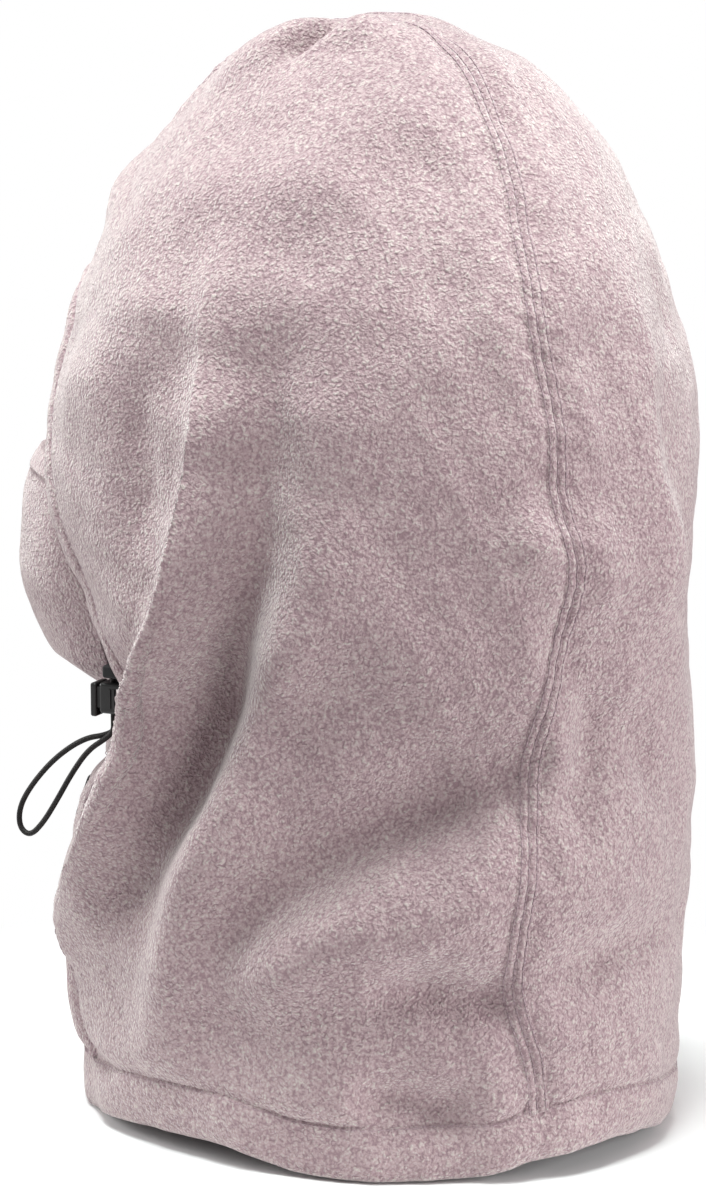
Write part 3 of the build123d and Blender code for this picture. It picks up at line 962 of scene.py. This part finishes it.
def mask_point(across, up):
    """A point of the mask's outer face from an angle across and an angle up, in degrees."""
    across, up = np.radians(across), np.radians(up)
    girth = np.where(up < 0, np.cos(up) ** 0.5, np.cos(up))
    unit_point = np.stack([np.sin(across) * girth, -np.cos(across) * np.cos(up), np.sin(up)], -1)
    return MASK_CENTRE + MASK_RADII * unit_point


def mask_piece(name, low, high, proud=0.0, thickness=2.4, rows=90, columns=160):
    """Part of the mask between two angles: its top sags at the sides and its lower corners are round."""
    up = np.linspace(low, high, rows)[:, None]
    across = np.linspace(-MASK_SIDE, MASK_SIDE, columns)[None, :]
    up = up - 5.0 * (across / MASK_SIDE) ** 2 * np.clip((up - MASK_LOW) / 85, 0, 1)
    up = up + 11.0 * (across / MASK_SIDE) ** 8 * np.clip((-20 - up) / 38, 0, 1)
    outer = mask_point(across, up)
    normals = unit((outer - MASK_CENTRE) / MASK_RADII**2)
    hang = 2.0 + 4.0 * np.exp(-(((up + 40) / 13) ** 2))
    hang = hang * np.clip((up - MASK_LOW) / 20, 0, 1) * np.clip((74 - np.abs(across)) / 20, 0, 1)
    ripple = hang + 0 * across
    for wave, phase, size in WAVES:
        ripple = ripple + 0.8 * size * np.sin(outer @ wave + phase)
    return cloth_sheet(name, outer + normals * (ripple + proud)[..., None], normals, thickness)


mask = mask_piece("mask", MASK_LOW, MASK_HIGH)
dress(mask, FLEECE_LOOK, "fleece", "mask", "mask_left", "mask_right")
binding = mask_piece("mask_edge", BINDING_LOW, BINDING_HIGH, proud=0.8, thickness=4.0, rows=12)
dress(binding, FLEECE_LOOK, "fleece", "mask", "mask_binding")


def hinge_strip(name):
    """The soft strip that the mask folds down on, from the casing to behind the mask's lower edge."""
    rows, columns = 14, 60
    across = np.linspace(-38, 38, columns)
    top = mask_point(across, np.full(columns, MASK_LOW + 3.0))
    top -= 1.2 * unit((top - MASK_CENTRE) / MASK_RADII**2)
    z = np.interp(np.abs(top[:, 0]), *OPENING_CURVE[::-1][:150].T) + 2.0
    bottom, _ = lay(on_form(angle_ahead(top[:, 0], z), z), 0.6)
    share = np.linspace(0, 1, rows)[:, None, None]
    outward = np.broadcast_to((0.0, -1.0, 0.15), (rows, columns, 3))
    bowed = bottom + (top - bottom) * share + outward * np.sin(math.pi * share)
    return cloth_sheet(name, bowed, outward, thickness=2.2)


strip = hinge_strip("hinge_strip")
dress(strip, FLEECE_LOOK, "fleece", None, "mask_hinge_strip")
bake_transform(strip)

# ---- CAD pieces that keep their shape
for node, material in (
    ("lock_housing", PLASTIC_LOOK),
    ("lock_button", PLASTIC_LOOK),
    ("lock_spring", STEEL_LOOK),
    ("cord_exit_tab", TAB_LOOK),
):
    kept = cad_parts[node]
    kept.data.materials.clear()
    kept.data.materials.append(material)

# ---- floor, light and world
def add_floor():
    """A pale floor, diffuse right round the hood, that turns into an even white glow further out and melts
    into the white studio; the glow starts 0.1 m from the middle, so it also paints light into the hood's
    cast shadow.
    """
    size = 8.0
    mesh = bpy.data.meshes.new("floor")
    corners = [(-size, -size, 0), (size, -size, 0), (size, size, 0), (-size, size, 0)]
    mesh.from_pydata(corners, [], [(0, 1, 2, 3)])
    floor = bpy.data.objects.new("floor", mesh)
    bpy.context.scene.collection.objects.link(floor)
    material, nodes, links, shader = new_material("floor")
    shader.inputs["Base Color"].default_value = (0.96, 0.96, 0.96, 1)
    shader.inputs["Roughness"].default_value = 0.9
    shader.inputs["Specular IOR Level"].default_value = 0.0
    shadow_fill_glow = nodes.new("ShaderNodeEmission")
    place = nodes.new("ShaderNodeTexCoord")
    away = nodes.new("ShaderNodeVectorMath")
    away.operation = "LENGTH"
    links.new(place.outputs["Object"], away.inputs[0])
    # painted light: the glow fades in from 0.1 m to 0.26 m out, where the hood's shadow falls, and lightens
    # that shadow
    share = nodes.new("ShaderNodeMapRange")
    share.interpolation_type = "SMOOTHSTEP"
    share.inputs["From Min"].default_value = 0.1
    share.inputs["From Max"].default_value = 0.26
    links.new(away.outputs["Value"], share.inputs["Value"])
    mix = nodes.new("ShaderNodeMixShader")
    links.new(share.outputs["Result"], mix.inputs["Fac"])
    links.new(shader.outputs["BSDF"], mix.inputs[1])
    links.new(shadow_fill_glow.outputs["Emission"], mix.inputs[2])
    links.new(mix.outputs["Shader"], nodes["Material Output"].inputs["Surface"])
    mesh.materials.append(material)


def add_softbox(name, azimuth, height, distance, size, power, colour=(1, 1, 1)):
    data = bpy.data.lights.new(name, "AREA")
    data.color = colour
    data.shape = "RECTANGLE"
    data.size, data.size_y, data.energy = size[0], size[1], power
    lamp = bpy.data.objects.new(name, data)
    angle = math.radians(azimuth)
    place = Vector((distance * math.sin(angle), -distance * math.cos(angle), height))
    aim = Vector((0, AXIS_Y * MM, 0.2)) - place
    lamp.matrix_world = Matrix.Translation(place) @ aim.to_track_quat("-Z", "Y").to_matrix().to_4x4()
    bpy.context.scene.collection.objects.link(lamp)


def add_world():
    world = bpy.data.worlds.new("studio")
    bpy.context.scene.world = world
    world.use_nodes = True
    nodes, links = world.node_tree.nodes, world.node_tree.links
    sky = nodes["Background"]
    sky.inputs["Color"].default_value = (1, 1, 1, 1)
    sky.inputs["Strength"].default_value = 0.18
    seen = nodes.new("ShaderNodeBackground")
    seen.inputs["Color"].default_value = (1, 1, 1, 1)
    path = nodes.new("ShaderNodeLightPath")
    mix = nodes.new("ShaderNodeMixShader")
    links.new(path.outputs["Is Camera Ray"], mix.inputs["Fac"])
    links.new(sky.outputs["Background"], mix.inputs[1])
    links.new(seen.outputs["Background"], mix.inputs[2])
    links.new(mix.outputs["Shader"], nodes["World Output"].inputs["Surface"])


add_floor()
add_softbox("top_softbox", 75, 1.8, 0.3, (0.9, 0.9), 60, (0.94, 1.0, 0.98))
add_softbox("front_softbox", 8, 0.6, 1.6, (0.4, 0.7), 18)
add_softbox("back_softbox", 195, 0.4, 1.6, (0.4, 0.8), 18)
add_softbox("side_softbox", 150, 0.1, 1.6, (0.6, 0.25), 8.5)
add_world()
bpy.context.scene.view_settings.view_transform = "Standard"
